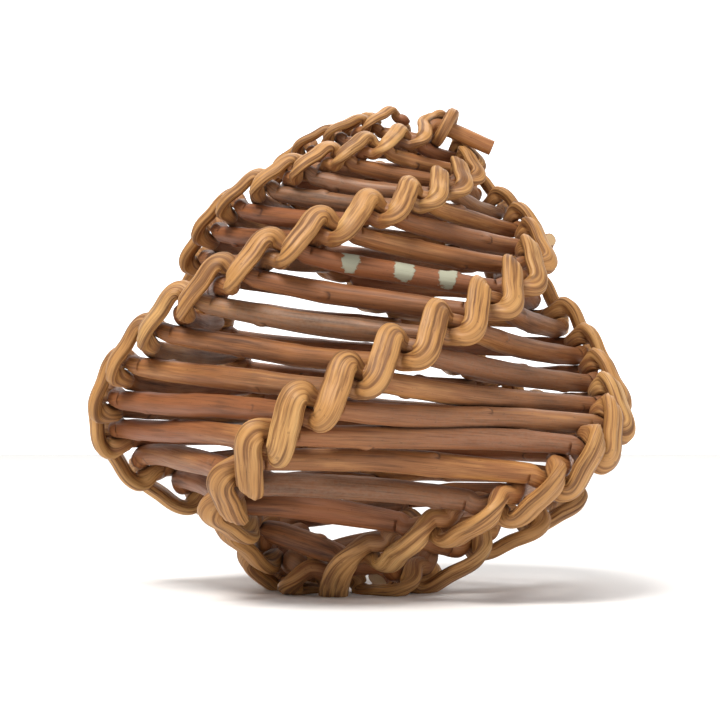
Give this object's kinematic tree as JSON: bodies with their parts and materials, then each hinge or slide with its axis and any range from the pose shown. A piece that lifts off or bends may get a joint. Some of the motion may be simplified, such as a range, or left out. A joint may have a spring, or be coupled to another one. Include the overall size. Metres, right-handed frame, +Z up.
{
  "type": "plaited willow decorative ball",
  "caption": "Hollow onion-shaped ball plaited from long round willow rods, with folded ridges spiralling up to a knotted crown.",
  "frame": {"origin": "on the floor plane z = 0, under the middle of the ball's box", "axes": "+Z up, from the small flat base to the crown; +X towards the side that the ball leans to and that the trimmed stub points to; +Y away from the side the plait is seen from"},
  "size_m": [0.1344, 0.1372, 0.1207],
  "materials": {
    "willow_bark": "satin"
  },
  "bodies": {
    "root": {"willow_rod_1": "willow_bark", "willow_rod_2": "willow_bark", "willow_rod_3": "willow_bark", "willow_rod_4": "willow_bark", "willow_rod_5": "willow_bark", "willow_rod_6": "willow_bark", "joined_rod": "willow_bark"}
  },
  "joints": []
}
